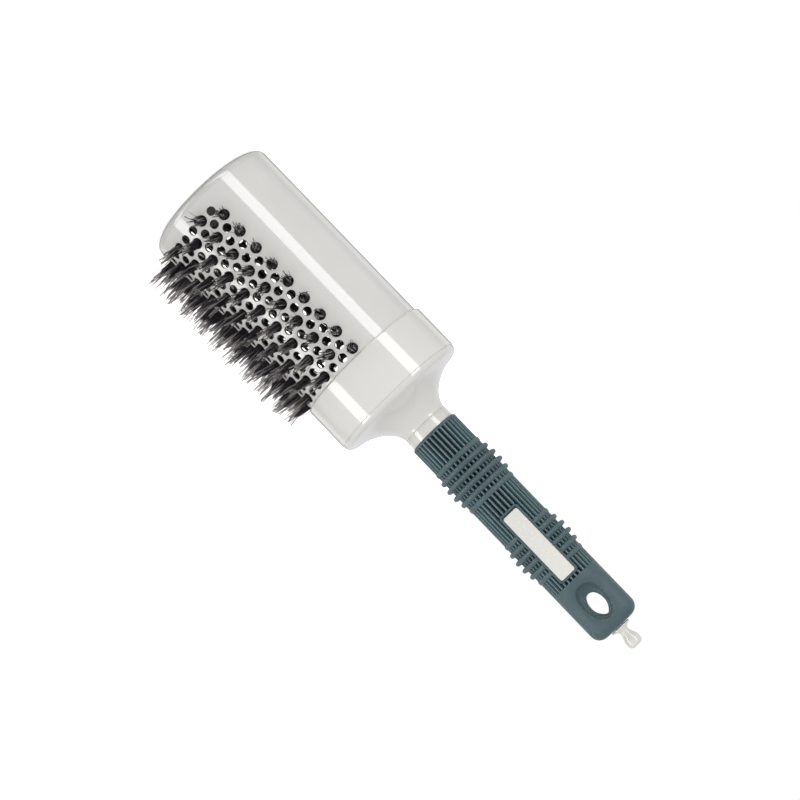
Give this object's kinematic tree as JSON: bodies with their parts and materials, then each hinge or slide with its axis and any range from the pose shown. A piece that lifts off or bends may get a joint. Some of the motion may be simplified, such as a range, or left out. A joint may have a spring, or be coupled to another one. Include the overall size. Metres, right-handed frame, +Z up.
{
  "type": "round barrel brush",
  "caption": "Large round thermal hair brush with a perforated barrel, bristles on one half, a ribbed rubber grip with a hanging eye, and a pull-out tail pin.",
  "frame": {"origin": "centre of the end cap's flat face, on the barrel's axis; the brush stands on this face", "axes": "+Z up the brush axis from the end cap to the tail pin; the label plate and hanging eye face -Y; the bristled half of the barrel faces +X"},
  "size_m": [0.0665, 0.0777, 0.2288],
  "materials": {
    "ceramic": "satin ceramic coat, warm pearl grey, on aluminium",
    "pearl": "glossy pearl-white moulding",
    "teal_rubber": "matt grey-teal soft rubber",
    "bristle": "black nylon filament with some longer grey translucent strands",
    "steel": "plain drawn wire"
  },
  "bodies": {
    "brush": {"barrel_tube": "ceramic", "end_cap": "pearl", "collar": "pearl", "neck": "pearl", "handle_core": "pearl", "grip_sleeve": "teal_rubber", "label_plate": "pearl", "bristle_bank_1": "bristle", "bristle_bank_2": "bristle", "bristle_bank_3": "bristle", "bristle_bank_4": "bristle", "anchor_wire_01": "steel", "anchor_wire_02": "steel", "anchor_wire_03": "steel", "anchor_wire_04": "steel", "anchor_wire_05": "steel", "anchor_wire_06": "steel", "anchor_wire_07": "steel", "anchor_wire_08": "steel", "anchor_wire_09": "steel", "anchor_wire_10": "steel", "anchor_wire_11": "steel", "anchor_wire_12": "steel"},
    "pin": {"tail_pin": "pearl"}
  },
  "joints": [
    {"name": "pin_pull", "type": "slide", "parent": "brush", "child": "pin", "axis": [0, 0, 1], "range_m": [0, 0.005]}
  ]
}
